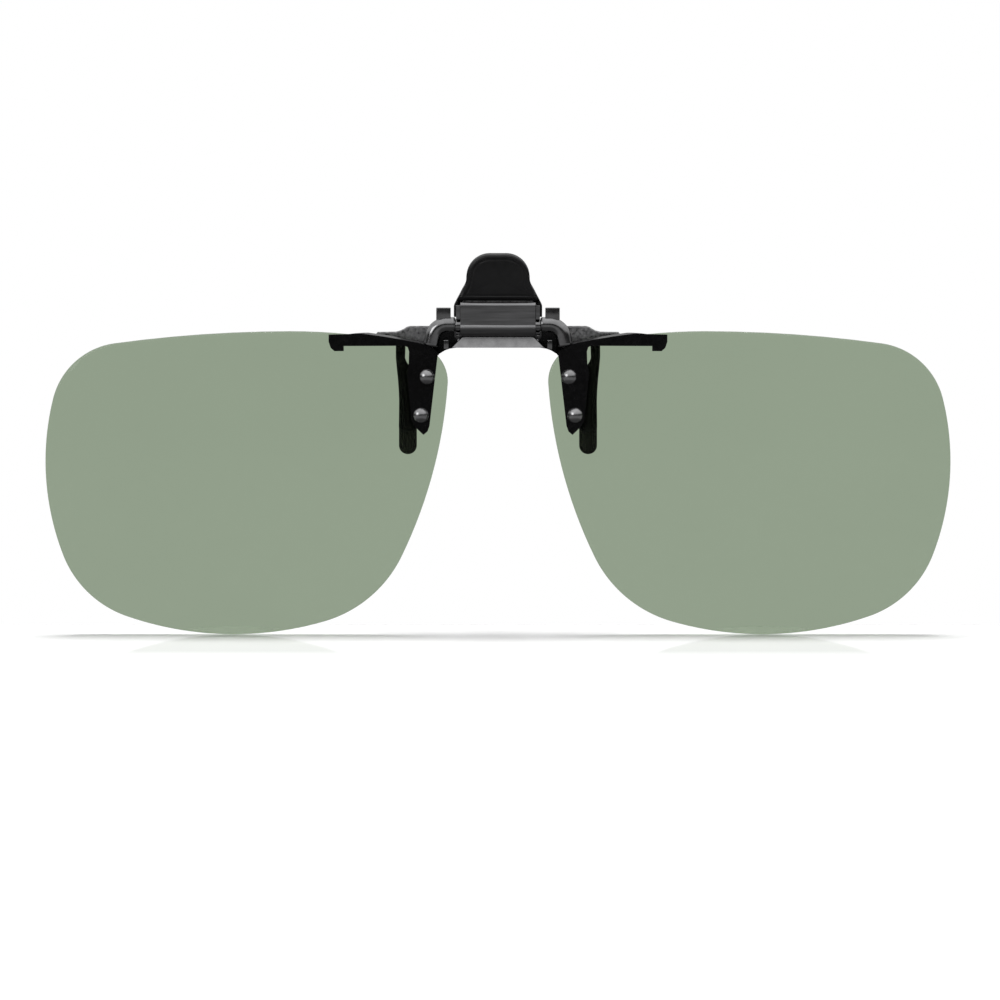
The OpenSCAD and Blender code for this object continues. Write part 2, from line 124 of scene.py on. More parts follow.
def add_light(name, kind, place):
    """A light of that kind at a place in millimetres, and its data."""
    data = bpy.data.lights.new(name, kind)
    light = bpy.data.objects.new(name, data)
    bpy.context.scene.collection.objects.link(light)
    light.location = Vector(place) * MM
    return light, data


def add_side_light():
    """A soft square light at the front left, aimed at the middle of the object."""
    light, data = add_light("front_left", "AREA", SIDE_PLACE)
    data.shape = "RECTANGLE"
    data.size = data.size_y = SIDE_SIZE * MM
    data.energy = SIDE_POWER
    light.rotation_euler = (-Vector(SIDE_PLACE)).to_track_quat("-Z", "Y").to_euler()


def add_overhead():
    """A broad soft light from above, tilted to the rear, which metal doesn't mirror."""
    strength, spread, tilt = OVERHEAD
    light, data = add_light("overhead", "SUN", (0, 0, OVERHEAD_Z))
    data.energy = strength
    data.angle = math.radians(spread)
    light.rotation_euler = (-math.radians(tilt), 0, 0)
    light.visible_glossy = False


def make_studio():
    scene = bpy.context.scene
    scene.view_settings.view_transform = "Standard"
    world = bpy.data.worlds.new("studio")
    world.use_nodes = True
    scene.world = world
    light_the_world(world.node_tree)
    add_overhead()
    add_side_light()


# Brightness of the surroundings by the sine of their elevation, as the metal reflects them
IN_FRONT = (
    (-1.0, 0.12), (-0.6, 0.16), (-0.4, 0.42), (-0.02, 0.36),
    (0.05, 0.06), (0.28, 0.05), (0.42, 1.0), (1.0, 1.5))
BEHIND = ((-1.0, 0.12), (-0.3, 0.04), (0.1, 0.04), (0.3, 0.8), (1.0, 1.5))
# Half the depth over which the surroundings in front pass into those behind, as a share of a unit vector
FRONT_TO_BACK = 0.1
# Brightness of the surroundings as matt surfaces receive it
DIFFUSE_LEVEL = 0.1


def ramped(nodes, links, value, ends, top=1.0):
    """Rises from 0 to top while a value passes between two ends."""
    ramp = nodes.new("ShaderNodeMapRange")
    ramp.inputs["From Min"].default_value, ramp.inputs["From Max"].default_value = ends
    ramp.inputs["To Max"].default_value = top
    links.new(value, ramp.inputs["Value"])
    return ramp.outputs["Result"]


def sky_bands(nodes, links, height, levels):
    """A light whose strength follows the height, given as pairs of sine of elevation and level."""
    bands = nodes.new("ShaderNodeValToRGB")
    ramp = bands.color_ramp
    top = max(level for _, level in levels)
    while len(ramp.elements) < len(levels):
        ramp.elements.new(0.5)
    for element, (sine, level) in zip(ramp.elements, levels):
        element.position = (sine + 1) / 2
        element.color = [level / top] * 3 + [1]
    links.new(height, bands.inputs["Fac"])
    light = nodes.new("ShaderNodeBackground")
    light.inputs["Strength"].default_value = top
    links.new(bands.outputs["Color"], light.inputs["Color"])
    return light.outputs["Background"]


def white_light(nodes, strength):
    light = nodes.new("ShaderNodeBackground")
    light.inputs["Color"].default_value = (1, 1, 1, 1)
    light.inputs["Strength"].default_value = strength
    return light.outputs["Background"]


def mixed(nodes, links, share, first, second):
    """A mix of two shaders: none of the second where share is 0."""
    mix = nodes.new("ShaderNodeMixShader")
    links.new(share, mix.inputs["Fac"])
    links.new(first, mix.inputs[1])
    links.new(second, mix.inputs[2])
    return mix.outputs["Shader"]


def light_the_world(tree):
    """Plain white to the camera and through the lenses; bands of light and dark for reflections."""
    nodes, links = tree.nodes, tree.links
    place = nodes.new("ShaderNodeTexCoord")
    split = nodes.new("ShaderNodeSeparateXYZ")
    links.new(place.outputs["Generated"], split.inputs["Vector"])
    height = ramped(nodes, links, split.outputs["Z"], (-1, 1))
    rearward = ramped(nodes, links, split.outputs["Y"], (-FRONT_TO_BACK, FRONT_TO_BACK))
    path = nodes.new("ShaderNodeLightPath")
    seen = nodes.new("ShaderNodeMath")
    seen.operation = "MAXIMUM"
    links.new(path.outputs["Is Camera Ray"], seen.inputs[0])
    links.new(path.outputs["Is Transmission Ray"], seen.inputs[1])
    in_front = sky_bands(nodes, links, height, IN_FRONT)
    behind = sky_bands(nodes, links, height, BEHIND)
    reflected = mixed(nodes, links, rearward, in_front, behind)
    diffuse = white_light(nodes, DIFFUSE_LEVEL)
    received = mixed(nodes, links, path.outputs["Is Diffuse Ray"], reflected, diffuse)
    shown = mixed(nodes, links, seen.outputs["Value"], received, white_light(nodes, 1.0))
    links.new(shown, nodes["World Output"].inputs["Surface"])


# The floor's half width, how far it goes on behind the object, and its brightness
FLOOR_HALF = 6000
FLOOR_BEHIND = 12
FLOOR_WHITE = 0.92
# How far the floor lies below the object
FLOOR_GAP = 0.05
FLOOR_MIRROR = 0.3
MIRROR_ROUGHNESS = 0.02
MIRROR_IOR = 1.2
# Y at which the floor starts to mirror, and at which it mirrors fully, in metres
MIRROR_ENDS = (-0.044, -0.036)
# A Fresnel reflectance at which the floor starts to mirror, and one at which it mirrors fully
MIRROR_GRAZING = (0.25, 0.6)
CARD_HALF = 400
CARD_Y = 60
CARD_HEIGHT = 14


def mirror_share(nodes, links):
    """How much of the floor's look is a mirror: some of it near the object at grazing angles."""
    place = nodes.new("ShaderNodeTexCoord")
    split = nodes.new("ShaderNodeSeparateXYZ")
    links.new(place.outputs["Object"], split.inputs["Vector"])
    fresnel = nodes.new("ShaderNodeFresnel")
    fresnel.inputs["IOR"].default_value = MIRROR_IOR
    share = nodes.new("ShaderNodeMath")
    share.operation = "MULTIPLY"
    links.new(ramped(nodes, links, split.outputs["Y"], MIRROR_ENDS, FLOOR_MIRROR), share.inputs[0])
    links.new(ramped(nodes, links, fresnel.outputs["Fac"], MIRROR_GRAZING), share.inputs[1])
    return share.outputs["Value"]


def make_floor():
    """White floor under the object, faintly mirroring it near by at grazing angles."""
    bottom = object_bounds()[0][2] / MM - FLOOR_GAP
    floor = stage_sheet("floor", [
        (-FLOOR_HALF, -FLOOR_HALF, bottom), (FLOOR_HALF, -FLOOR_HALF, bottom),
        (FLOOR_HALF, FLOOR_BEHIND, bottom), (-FLOOR_HALF, FLOOR_BEHIND, bottom)])
    material = bpy.data.materials.new("floor_white")
    material.use_nodes = True
    nodes, links = material.node_tree.nodes, material.node_tree.links
    matt = nodes["Principled BSDF"]
    matt.inputs["Base Color"].default_value = [FLOOR_WHITE] * 3 + [1]
    matt.inputs["Roughness"].default_value = 1.0
    matt.inputs["Specular IOR Level"].default_value = 0.0
    mirror = nodes.new("ShaderNodeBsdfGlossy")
    mirror.inputs["Color"].default_value = (1, 1, 1, 1)
    mirror.inputs["Roughness"].default_value = MIRROR_ROUGHNESS
    look = mixed(nodes, links, mirror_share(nodes, links), matt.outputs["BSDF"], mirror.outputs["BSDF"])
    links.new(look, nodes["Material Output"].inputs["Surface"])
    floor.data.materials.append(material)
    floor.visible_glossy = False
    make_card(bottom)


def make_card(bottom):
    """A low white card behind the object, which only the floor's mirroring shows."""
    top = bottom + CARD_HEIGHT
    card = stage_sheet("card", [
        (-CARD_HALF, CARD_Y, bottom), (CARD_HALF, CARD_Y, bottom),
        (CARD_HALF, CARD_Y, top), (-CARD_HALF, CARD_Y, top)])
    material = bpy.data.materials.new("card_white")
    material.use_nodes = True
    shader = material.node_tree.nodes["Principled BSDF"]
    shader.inputs["Base Color"].default_value = (0, 0, 0, 1)
    shader.inputs["Emission Color"].default_value = (1, 1, 1, 1)
    shader.inputs["Emission Strength"].default_value = 1.0
    card.data.materials.append(material)
    card.visible_camera = False
    card.visible_transmission = False
    card.visible_diffuse = False
    card.visible_shadow = False


def stage_sheet(name, corners):
    """A flat sheet of the studio from four corners in millimetres."""
    mesh = bpy.data.meshes.new(name)
    mesh.from_pydata([Vector(corner) * MM for corner in corners], [], [(0, 1, 2, 3)])
    sheet = bpy.data.objects.new(name, mesh)
    bpy.context.scene.collection.objects.link(sheet)
    return sheet


# ---------- materials ----------

NOISE_DETAIL = 4.0
NOISE_ROUGHNESS = 0.6
TONE_ENDS = (0.3, 0.7)
RELIEF_STRENGTH = 0.6
LENS_IOR = 1.2


def surface(name, colour, metallic, roughness, grain, vary, bump, specular=0.5, rough_vary=0.08):
    """A Principled surface whose colour, roughness and relief follow a noise in object space.

    grain is the noise's frequency along X, Y and Z, per millimetre. vary is the share by which the
    colour varies, and bump is the relief in millimetres.
    """
    material = bpy.data.materials.new(name)
    material.use_nodes = True
    nodes, links = material.node_tree.nodes, material.node_tree.links
    shader = nodes["Principled BSDF"]
    place = nodes.new("ShaderNodeTexCoord")
    scale = nodes.new("ShaderNodeMapping")
    scale.inputs["Scale"].default_value = [g / MM for g in grain]
    noise = nodes.new("ShaderNodeTexNoise")
    noise.inputs["Scale"].default_value = 1.0
    noise.inputs["Detail"].default_value = NOISE_DETAIL
    noise.inputs["Roughness"].default_value = NOISE_ROUGHNESS
    links.new(place.outputs["Object"], scale.inputs["Vector"])
    links.new(scale.outputs["Vector"], noise.inputs["Vector"])
    tone = nodes.new("ShaderNodeValToRGB")
    for element, position, level in zip(tone.color_ramp.elements, TONE_ENDS, (1 - vary, 1 + vary)):
        element.position = position
        element.color = [c * level for c in colour] + [1]
    links.new(noise.outputs["Fac"], tone.inputs["Fac"])
    links.new(tone.outputs["Color"], shader.inputs["Base Color"])
    rough = nodes.new("ShaderNodeMapRange")
    rough.inputs["To Min"].default_value = roughness - rough_vary
    rough.inputs["To Max"].default_value = roughness + rough_vary
    links.new(noise.outputs["Fac"], rough.inputs["Value"])
    links.new(rough.outputs["Result"], shader.inputs["Roughness"])
    relief = nodes.new("ShaderNodeBump")
    relief.inputs["Strength"].default_value = RELIEF_STRENGTH
    relief.inputs["Distance"].default_value = bump * MM
    links.new(noise.outputs["Fac"], relief.inputs["Height"])
    links.new(relief.outputs["Normal"], shader.inputs["Normal"])
    shader.inputs["Metallic"].default_value = metallic
    shader.inputs["Specular IOR Level"].default_value = specular
    return material


def tinted_lens(name, colour):
    """Clear tinted sheet: the tint varies by a hair, as dyed film does."""
    material = surface(name, colour, 0.0, 0.03, SMOOTH, 0.012, 0.0002, rough_vary=0.01)
    shader = material.node_tree.nodes["Principled BSDF"]
    shader.inputs["Transmission Weight"].default_value = 1.0
    shader.inputs["IOR"].default_value = LENS_IOR
    return material


# Frequencies of the noise along X, Y and Z, per millimetre
BRUSH_X = (0.12, 2.2, 2.2)
FINE = (1.2, 1.2, 1.2)
MOTTLED = (1.9, 1.9, 1.9)
DRAWN_Z = (2.6, 2.6, 0.2)
SMOOTH = (0.03, 0.03, 0.03)
# For each finish what surface() takes after its name
FINISHES = {
    "clamp_steel": ((0.3, 0.3, 0.305), 1.0, 0.3, MOTTLED, 0.6, 0.07),
    "housing_metal": ((0.185, 0.185, 0.189), 1.0, 0.3, BRUSH_X, 0.3, 0.015),
    "bridge_metal": ((0.19, 0.19, 0.193), 1.0, 0.17, FINE, 0.15, 0.008),
    "bracket_black": ((0.0025, 0.0025, 0.0027), 0.0, 0.25, FINE, 0.3, 0.004, 0.13),
    "rivet_metal": ((0.24, 0.24, 0.244), 1.0, 0.24, FINE, 0.15, 0.006),
    "washer_metal": ((0.4, 0.4, 0.4), 1.0, 0.35, FINE, 0.1, 0.01),
    "spring_steel": ((0.5, 0.5, 0.51), 1.0, 0.25, FINE, 0.1, 0.005),
    "thumb_plastic": ((0.0055, 0.0055, 0.006), 0.0, 0.38, FINE, 0.2, 0.006, 0.28),
    "sleeve_rubber": ((0.004, 0.004, 0.0035), 0.0, 0.5, DRAWN_Z, 0.6, 0.02, 0.12),
    # The rear sleeves' rubber: a lighter, brownish black than the front sleeves'.
    "sleeve_rubber_light_brown": ((0.019, 0.0165, 0.014), 0.0, 0.5, DRAWN_Z, 0.7, 0.03, 0.3),
}
MATERIALS = {name: surface(name, *finish) for name, finish in FINISHES.items()}
MATERIALS["lens_tint"] = tinted_lens("lens_tint", (0.287, 0.347, 0.258))


# ---------- mesh helpers ----------

# Least angle at which an edge is shaded sharp, and at which a prism's edge is bevelled
SHARP_ANGLE = 40
PRISM_BEVEL_ANGLE = 25


def new_piece(name, bm, slot, body, *stands_for, look=None):
    """A piece from a bmesh in millimetres: shaded smooth, finished, and riding on its body.

    look names a material other than the slot's own.
    """
    bmesh.ops.recalc_face_normals(bm, faces=bm.faces)
    bmesh.ops.scale(bm, vec=(MM, MM, MM), verts=bm.verts)
    mesh = bpy.data.meshes.new(name)
    bm.to_mesh(mesh)
    bm.free()
    mesh.polygons.foreach_set("use_smooth", [True] * len(mesh.polygons))
    mesh.set_sharp_from_angle(angle=math.radians(SHARP_ANGLE))
    mesh.materials.append(MATERIALS[look or slot])
    piece = bpy.data.objects.new(name, mesh)
    bpy.context.scene.collection.objects.link(piece)
    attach(piece, body)
    if stands_for:
        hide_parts(*stands_for)


def mirror_x(bm):
    bmesh.ops.scale(bm, vec=(-1, 1, 1), verts=bm.verts)


def merge_both_sides(target, source):
    """Adds one bmesh and its mirror image to another."""
    twin = source.copy()
    mirror_x(twin)
    merge(target, source)
    merge(target, twin)


def merge(target, source):
    """Adds one bmesh to another."""
    mesh = bpy.data.meshes.new("merge")
    source.to_mesh(mesh)
    source.free()
    target.from_mesh(mesh)
    bpy.data.meshes.remove(mesh)


def arc(centre, radius, start, end, steps):
    """Points round an arc, angles in degrees, both ends included."""
    angles = [math.radians(start + (end - start) * i / steps) for i in range(steps + 1)]
    return [(centre[0] + radius * math.cos(a), centre[1] + radius * math.sin(a)) for a in angles]


def round_edges(bm, least_angle, offset, segments):
    """Bevels the edges that turn by more than an angle in degrees."""
    bmesh.ops.recalc_face_normals(bm, faces=bm.faces)
    least = math.radians(least_angle)
    sharp = [e for e in bm.edges if len(e.link_faces) == 2 and e.calc_face_angle() > least]
    bmesh.ops.bevel(bm, geom=sharp, offset=offset, segments=segments, profile=0.5, affect="EDGES")


def prism(outline, low, high, bevel):
    """An outline in X and Z, extruded along Y, its edges rounded."""
    bm = loft([[(x, y, z) for x, z in outline] for y in (low, high)])
    round_edges(bm, PRISM_BEVEL_ANGLE, bevel, 3)
    return bm


def loft(rings):
    """Skins closed rings of equal length with quads, and caps the two ends."""
    bm = bmesh.new()
    made = [[bm.verts.new(p) for p in ring] for ring in rings]
    count = len(made[0])
    for a, b in zip(made, made[1:]):
        for i in range(count):
            j = (i + 1) % count
            bm.faces.new((a[i], a[j], b[j], b[i]))
    bm.faces.new(made[0])
    bm.faces.new(made[-1])
    return bm


def inset_outline(outline, centre, inset, shrink):
    """A clockwise outline moved inwards along its normals, then shrunk to a centre."""
    points = []
    count = len(outline)
    for i, (x, z) in enumerate(outline):
        (ax, az), (bx, bz) = outline[i - 1], outline[(i + 1) % count]
        length = math.hypot(bx - ax, bz - az)
        inner_x = x + (bz - az) / length * inset
        inner_z = z - (bx - ax) / length * inset
        points.append((
            centre[0] + (inner_x - centre[0]) * shrink,
            centre[1] + (inner_z - centre[1]) * shrink))
    return points


# A bar's rounded end: the share of the radius that it takes, and its steps in degrees from the tip
END_ROUND = 0.3
END_TURNS = (75, 50, 25)


def rounded_end(tip, inward, radius):
    """Centres and radii of the rings that round a bar's end, from its tip inwards."""
    rounding = radius * END_ROUND
    rings = []
    for turn in END_TURNS:
        a = math.radians(turn)
        rings.append((tip + inward * rounding * (1 - math.sin(a)), radius - rounding * (1 - math.cos(a))))
    return rings + [(tip + inward * rounding, radius)]


def tube(path, radius, sides):
    """A round bar along a path of points, its ends rounded."""
    points = [Vector(p) for p in path]
    last = len(points) - 1
    angles = [math.tau * k / sides for k in range(sides)]
    normal = (points[1] - points[0]).normalized().orthogonal().normalized()
    rings = []
    for i, p in enumerate(points):
        along = (points[min(i + 1, last)] - points[max(i - 1, 0)]).normalized()
        normal = (normal - along * normal.dot(along)).normalized()
        across = along.cross(normal)
        sections = [(p, radius)]
        if i == 0:
            sections = rounded_end(p, along, radius)
        elif i == last:
            sections = reversed(rounded_end(p, -along, radius))
        for centre, r in sections:
            rings.append([centre + r * (normal * math.cos(a) + across * math.sin(a)) for a in angles])
    return loft(rings)


# Points closer than this are joined, and facets within this angle are made one before the bevel
WELD_GAP = 0.002
FLAT_ANGLE = 1
CAD_BEVEL_ANGLE = 30


def refine_cad(name, slot, bevel):
    """Keeps a CAD node and rounds its sharp edges by modifiers."""
    node = frame["nodes"][name]
    mesh = node.data
    with bpy.context.temp_override(object=node, active_object=node, selected_objects=[node]):
        bpy.ops.mesh.customdata_custom_splitnormals_clear()
    mesh.polygons.foreach_set("use_smooth", [True] * len(mesh.polygons))
    mesh.materials.clear()
    mesh.materials.append(MATERIALS[slot])
    weld = node.modifiers.new("weld", "WELD")
    weld.merge_threshold = WELD_GAP * MM
    flat = node.modifiers.new("flat", "DECIMATE")
    flat.decimate_type = "DISSOLVE"
    flat.angle_limit = math.radians(FLAT_ANGLE)
    rounding = node.modifiers.new("rounding", "BEVEL")
    rounding.width = bevel * MM
    rounding.segments = 3
    rounding.limit_method = "ANGLE"
    rounding.angle_limit = math.radians(CAD_BEVEL_ANGLE)
    normals = node.modifiers.new("normals", "WEIGHTED_NORMAL")
    normals.keep_sharp = False


# ---------- lens ----------

ARC_SWEEP = (13, 81, 22, 48, 35, 50, 35, 68, 8)
ARC_RADIUS = (85, 5.5, 69.5, 18.5, 49, 15.5, None, 11, None)
OUTLINE_START = (6.5, 22.6)
NOSE_X = 29.88
# Width of the lens that those arcs draw
PLAIN_W = 59.86
LENS_R = 180.0
LENS_T = 1.0
# Step along the outline in degrees
OUTLINE_STEP = 1.5
# Radius of the lens's rounded edge, its steps, and the rings from there to the middle
LENS_EDGE = 0.28
EDGE_STEPS = 5
INNER_RINGS = 14


def arc_steps():
    """For each arc of the lens's outline: start heading, sweep and radius; the two free radii close it."""
    headings = [-sum(ARC_SWEEP[:i]) for i in range(len(ARC_SWEEP))]

    def unit(i, sweep):
        h, e = math.radians(headings[i]), math.radians(headings[i] - sweep)
        return math.sin(h) - math.sin(e), math.cos(e) - math.cos(h)

    free = [i for i, r in enumerate(ARC_RADIUS) if r is None]
    fixed = [i for i, r in enumerate(ARC_RADIUS) if r is not None]
    steps = [unit(i, ARC_SWEEP[i]) for i in range(len(ARC_SWEEP))]
    rest = [sum(ARC_RADIUS[i] * steps[i][k] for i in fixed) for k in (0, 1)]
    (ax, ay), (bx, by) = steps[free[0]], steps[free[1]]
    det = ax * by - ay * bx
    radius = list(ARC_RADIUS)
    radius[free[0]] = -(rest[0] * by - rest[1] * bx) / det
    radius[free[1]] = -(ax * rest[1] - ay * rest[0]) / det
    return radius, unit


def lens_outline():
    """The right lens's outline in X and Z, clockwise from the top, and its centre."""
    radius, unit = arc_steps()
    lens_w = LENS_HIGH[0] - LENS_LOW[0]
    base = []
    x, z = OUTLINE_START
    for i, sweep in enumerate(ARC_SWEEP):
        r = radius[i]
        count = math.ceil(sweep / OUTLINE_STEP)
        for k in range(count):
            dx, dz = unit(i, sweep * k / count)
            base.append((x + r * dx, z + r * dz))
        dx, dz = unit(i, sweep)
        x, z = x + r * dx, z + r * dz
    scale = lens_w / PLAIN_W
    centre_x = LENS_HIGH[0] - NOSE_X * scale
    top = max(p[1] for p in base)
    centre_z = LENS_HIGH[2] - top * scale
    return [(centre_x + px * scale, centre_z + pz * scale) for px, pz in base], (centre_x, centre_z)


def dome_y(x, z, centre, radius):
    """Y of the lens's sphere of that radius at X and Z."""
    return LENS_LOW[1] + LENS_R - math.sqrt(radius ** 2 - (x - centre[0]) ** 2 - (z - centre[1]) ** 2)


def rounded_edge(radius, steps):
    """Inset and depth at each step of a quarter turn from a face to its edge, its start left out."""
    angles = [math.pi / 2 * k / steps for k in range(1, steps + 1)]
    return [(radius * (1 - math.sin(a)), radius * (1 - math.cos(a))) for a in angles]


def make_lens(side):
    outline, centre = lens_outline()

    def ring(inset, shrink, lift):
        """A ring at a depth behind the front face."""
        points = inset_outline(outline, centre, inset, shrink)
        return [(x, dome_y(x, z, centre, LENS_R - lift), z) for x, z in points]

    shrinks = [1 - k / (INNER_RINGS + 1) for k in range(INNER_RINGS, -1, -1)]
    edge = rounded_edge(LENS_EDGE, EDGE_STEPS)
    rings = [ring(LENS_EDGE, shrink, 0.0) for shrink in shrinks]
    rings += [ring(inset, 1, lift) for inset, lift in edge]
    rings += [ring(inset, 1, LENS_T - lift) for inset, lift in reversed(edge)]
    rings += [ring(LENS_EDGE, shrink, LENS_T) for shrink in reversed(shrinks)]
    bm = loft(rings)
    if SIDES[side] < 0:
        mirror_x(bm)
    new_piece(f"lens_{side}_sheet", bm, "lens_tint", "lens_frame", f"lens_{side}")


# ---------- flip bridge ----------

SHAFT_R = 0.95
SHAFT_X = (0, 1.5, 3.0, 5.0)
ARM_R = 1.15
ARM_Z = FLIP_Z + 0.15
ARM_START_X = 6.3
# How far the shaft goes on inside an arm
SHAFT_OVERLAP = 0.2
ARM_BEND = 2.2
ARM_BEND_X = 7.6
ARM_BEND_ANGLE = 78
ARM_BEND_STEPS = 18
# Distances from an arm's start to its first sections, and from its bend to its last ones
ARM_LEAD = (0, 0.3, 0.7)
ARM_TAIL = (0.5, 1.0, 1.5)
EAR = ((-9.2, 0.6), (-9.2, 2.7), (-7.05, 2.7), (-7.05, 0.6))
EAR_HALF_T = 0.35
CAST_BEVEL = 0.1
HEEL_BEVEL = 0.12
HEEL_X = (-8.1, -7.35)
HEEL_Z = (10.9, 12.3)
HEEL_FRONT = 0.7
WING = ((-9.55, 12.4), (-9.7, 11.0), (-9.35, 10.35), (-8.7, 10.2), (-7.9, 10.7), (-7.2, 10.95),
        (-5.6, 11.2), (-5.9, 12.1), (-6.5, 12.7), (-6.5, 13.8), (-8.5, 13.8))
WING_HALF_T = 0.3
WING_LEAN = 20
WING_LEAN_Z = 13.2
# Half width and Z of the lower strip's top and bottom edges, and their Y from the shaft
STRIP_TOP = (5.55, 12.78)
STRIP_BOTTOM = (7.2, 11.15)
STRIP_TOP_Y = 0.2
STRIP_BOTTOM_Y = -0.48
STRIP_T = 0.55
STRIP_DISH = 0.12
STRIP_CHAMFER = 0.34
STRIP_BEVEL = 0.05
STRIP_BEVEL_ANGLE = 35
STRIP_ROWS = 10
STRIP_COLUMNS = 24


def make_flip_bridge():
    """The casting with its shaft, arms, ears, heels and strip, and the two webs inside the arms, their
    near-black a painted shade.
    """
    casting = bmesh.new()
    for sign in (1, -1):
        shaft = [(-sign * x, FLIP_Y, FLIP_Z) for x in (*SHAFT_X, ARM_START_X + SHAFT_OVERLAP)]
        merge(casting, tube(shaft, SHAFT_R, sides=32))
        merge(casting, tube([(sign * x, FLIP_Y, z) for x, z in arm_path()], ARM_R, sides=40))
    ear = [(x, FLIP_Z + z) for x, z in EAR]
    merge_both_sides(casting, prism(ear, FLIP_Y - EAR_HALF_T, FLIP_Y + EAR_HALF_T, CAST_BEVEL))
    (outer, inner), (low, high) = HEEL_X, HEEL_Z
    heel = [(outer, low), (outer, high), (inner, high), (inner, low)]
    rear = node_box("flip_bridge")[1][1]
    merge_both_sides(casting, prism(heel, FLIP_Y - HEEL_FRONT, rear, HEEL_BEVEL))
    merge(casting, lower_strip())
    new_piece("flip_bridge_casting", casting, "bridge_metal", "lens_frame", "flip_bridge")
    # Painted shade: the webs take the brackets' near-black finish to stand for the shade in the recess
    # between each arm and the strip.
    webs = bmesh.new()
    merge_both_sides(webs, leaning_wing())
    new_piece("flip_bridge_webs_painted_shade", webs, "bracket_black", "lens_frame")


def arm_path():
    """The right arm's middle line in X and Z: along the shaft, round the bend and down."""
    lead = [(-ARM_START_X - d, ARM_Z) for d in ARM_LEAD]
    bend = arc((-ARM_BEND_X, ARM_Z - ARM_BEND), ARM_BEND, 90, 90 + ARM_BEND_ANGLE, ARM_BEND_STEPS)
    heading = math.radians(180 + ARM_BEND_ANGLE)
    end_x, end_z = bend[-1]
    tail = [(end_x + math.cos(heading) * d, end_z + math.sin(heading) * d) for d in ARM_TAIL]
    return lead + bend + tail


def leaning_wing():
    """The thin web inside an arm; its front leans back towards the bottom."""
    bm = prism(WING, FLIP_Y - WING_HALF_T, FLIP_Y + WING_HALF_T, CAST_BEVEL)
    for vert in bm.verts:
        vert.co.y += (WING_LEAN_Z - vert.co.z) * math.tan(math.radians(WING_LEAN))
    return bm


def lower_strip():
    """The tilted strip under the housing, dished along its middle, its front chamfered at the ends."""
    (top_half, top_z), (bottom_half, bottom_z) = STRIP_TOP, STRIP_BOTTOM
    section = []
    for i in range(STRIP_ROWS + 1):
        u = i / STRIP_ROWS
        y = FLIP_Y + STRIP_BOTTOM_Y + (STRIP_TOP_Y - STRIP_BOTTOM_Y) * u
        y += STRIP_DISH * math.sin(math.pi * u)
        section.append((bottom_half + (top_half - bottom_half) * u, y, bottom_z + (top_z - bottom_z) * u))

    def ring(across, inset, cut):
        """The section at a share of the half width less an inset, its front face set back by cut."""
        front = [(across * (half - inset), y - STRIP_T / 2 + cut, z) for half, y, z in section]
        back = [(across * (half - inset), y + STRIP_T / 2, z) for half, y, z in reversed(section)]
        return front + back

    middle = [ring(2 * k / STRIP_COLUMNS - 1, STRIP_CHAMFER, 0) for k in range(STRIP_COLUMNS + 1)]
    bm = loft([ring(-1, 0, STRIP_CHAMFER), *middle, ring(1, 0, STRIP_CHAMFER)])
    round_edges(bm, STRIP_BEVEL_ANGLE, STRIP_BEVEL, 2)
    return bm


# ---------- thumb covers ----------

COVER_LOW, COVER_HIGH = node_box("front_thumb_cover")
COVER_TOP = COVER_HIGH[2]
DOME_R = 3.5
DOME_X = 1.24
WALL_Z = 18.05
BEND_Z = 18.1
TAB_LEAN = 9
COVER_T = 1.8
SKIRT_X = (5.95, 6.6)
SKIRT_BEVEL = 0.12
PLATE_T = 0.7
COVER_MIDDLE = (0.0, 21.2)
COVER_EDGE = 0.5
COVER_EDGE_STEPS = 6
# Share of the outline's size and depth of the hollow, from the middle of the thumb face outwards
THUMB_HOLLOW = ((0.04, 0.3), (0.2, 0.29), (0.4, 0.25), (0.6, 0.17), (0.75, 0.1), (0.86, 0.05))
# Distance in from the edge and depth of the groove inside the rim
RIM_GROOVE = ((1.02, 0.04), (0.86, 0.12), (0.74, 0.12), (0.6, 0.0))
INNER_SHRINKS = (0.8, 0.5, 0.2, 0.04)
# Outline of the skirt's left half, and of the rear cover's wall behind the plate, in X and Z
SKIRT = ((-SKIRT_X[1], COVER_LOW[2]), (-SKIRT_X[1], 17.3), (-6.12, 18.25), (-5.95, 18.5), (-5.6, 18.5),
         (-5.6, 18.2), (-SKIRT_X[0], 18.05), (-SKIRT_X[0], COVER_LOW[2]))
REAR_WALL = ((-6.45, COVER_LOW[2]), (-6.45, 17.3), (-6.0, 18.15), (-5.85, 18.5))
REAR_WALL_GAP = 0.03


def cover_outline():
    """Outline of a thumb cover above its skirt, clockwise from the lower left, in X and Z."""
    side = [(-6.24, WALL_Z), (-5.78, 18.9), (-5.38, 19.68), (-5.02, 20.3), (-4.83, 20.75), (-4.75, 21.2)]
    left = side + arc((-DOME_X, COVER_TOP - DOME_R), DOME_R, 180, 90, 16)
    right = [(-x, z) for x, z in reversed(left)]
    underside = [(x, WALL_Z) for x in (4.5, 3, 1.5, 0, -1.5, -3, -4.5)]
    return left + right + underside


